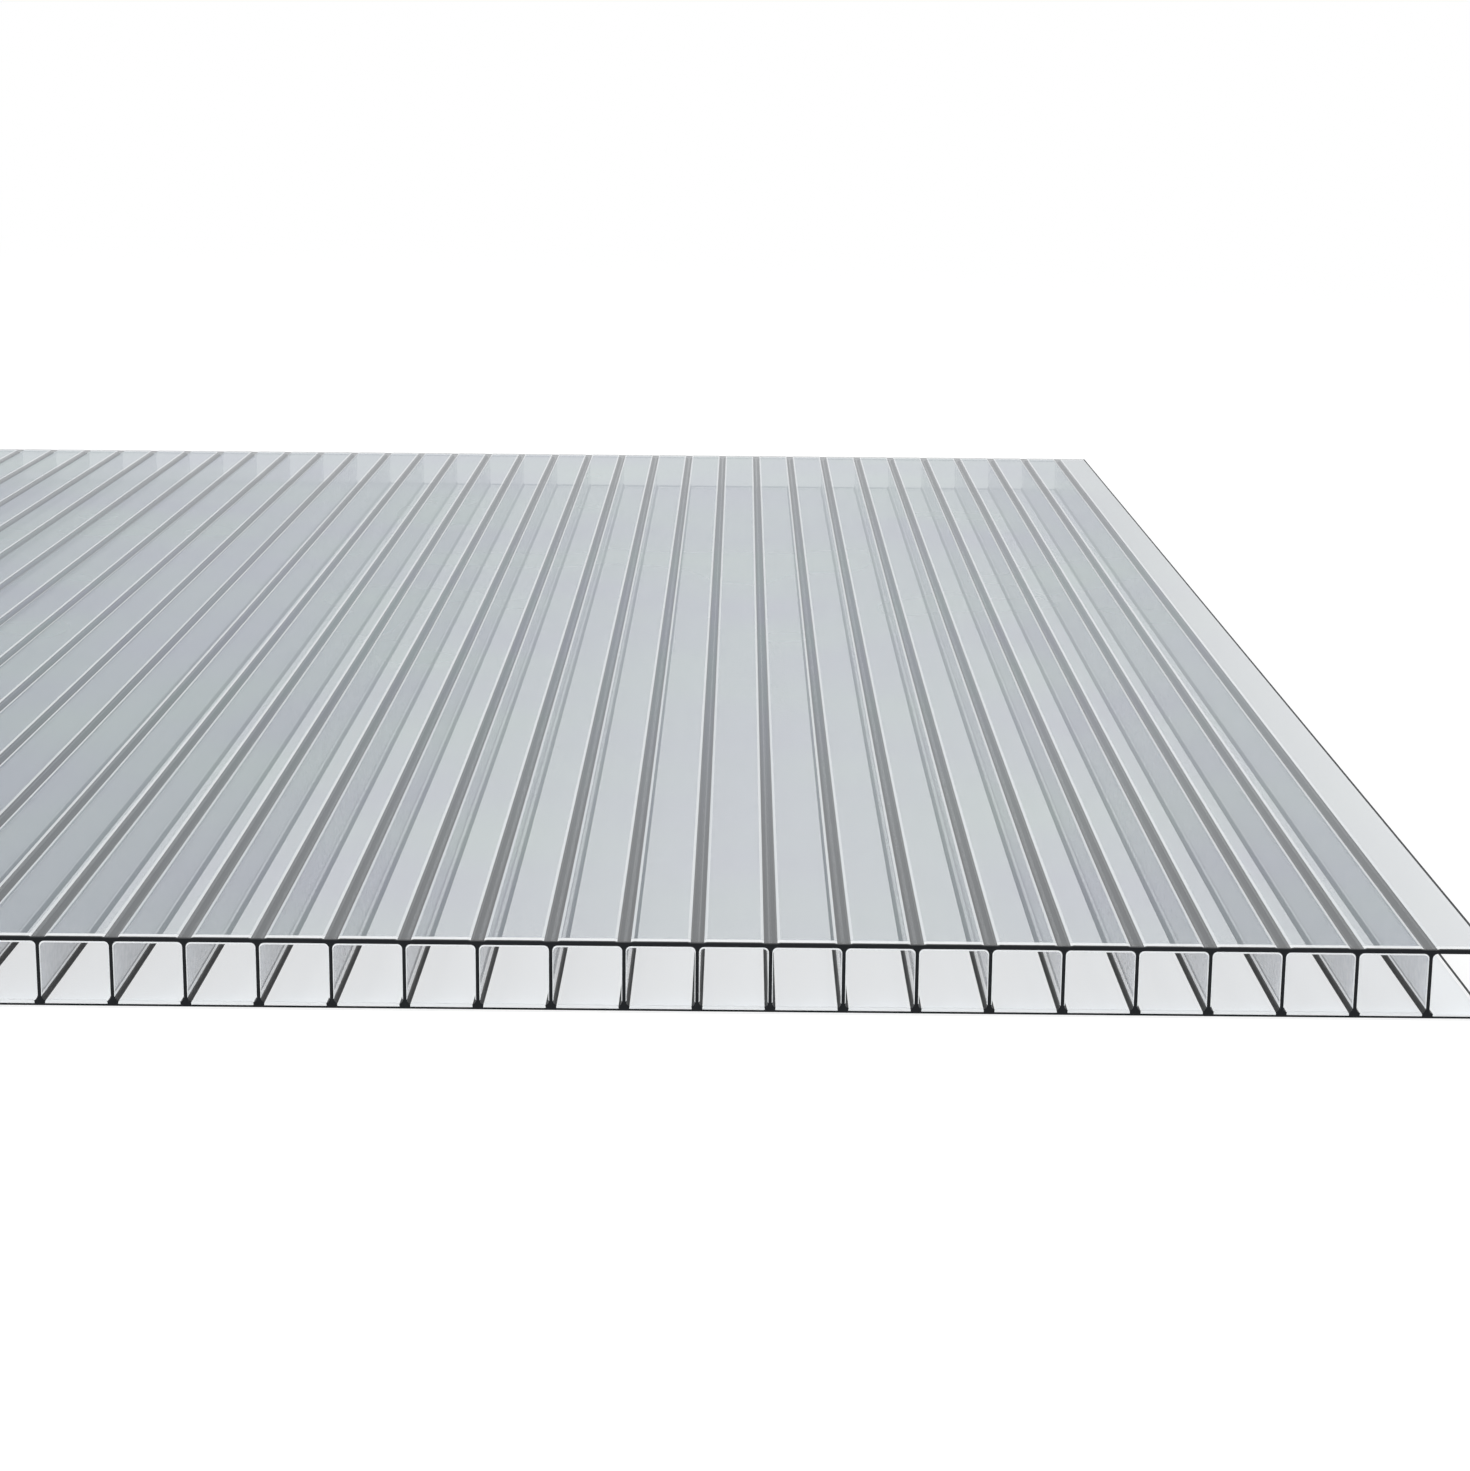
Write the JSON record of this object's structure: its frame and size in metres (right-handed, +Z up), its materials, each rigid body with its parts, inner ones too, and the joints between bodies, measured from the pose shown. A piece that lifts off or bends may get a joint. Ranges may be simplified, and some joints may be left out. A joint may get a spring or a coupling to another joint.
{
  "type": "multiwall polycarbonate sheet",
  "caption": "Clear twin-wall polycarbonate glazing sheet: thin flat skins joined by upright ribs, with open flutes at the sawn ends, for roofs and greenhouse walls.",
  "frame": {"origin": "middle of the underside, where the sheet rests", "axes": "+X across the flutes towards the open sawn side, +Y along the flutes to the far sawn end, +Z up out of the upper skin"},
  "size_m": [1.05, 0.5, 0.01],
  "materials": {
    "clear_polycarbonate": "clear extruded polycarbonate, smooth skins, fine saw marks on the cut ends"
  },
  "bodies": {
    "root": {"twin_wall_sheet": "clear_polycarbonate"}
  },
  "joints": []
}
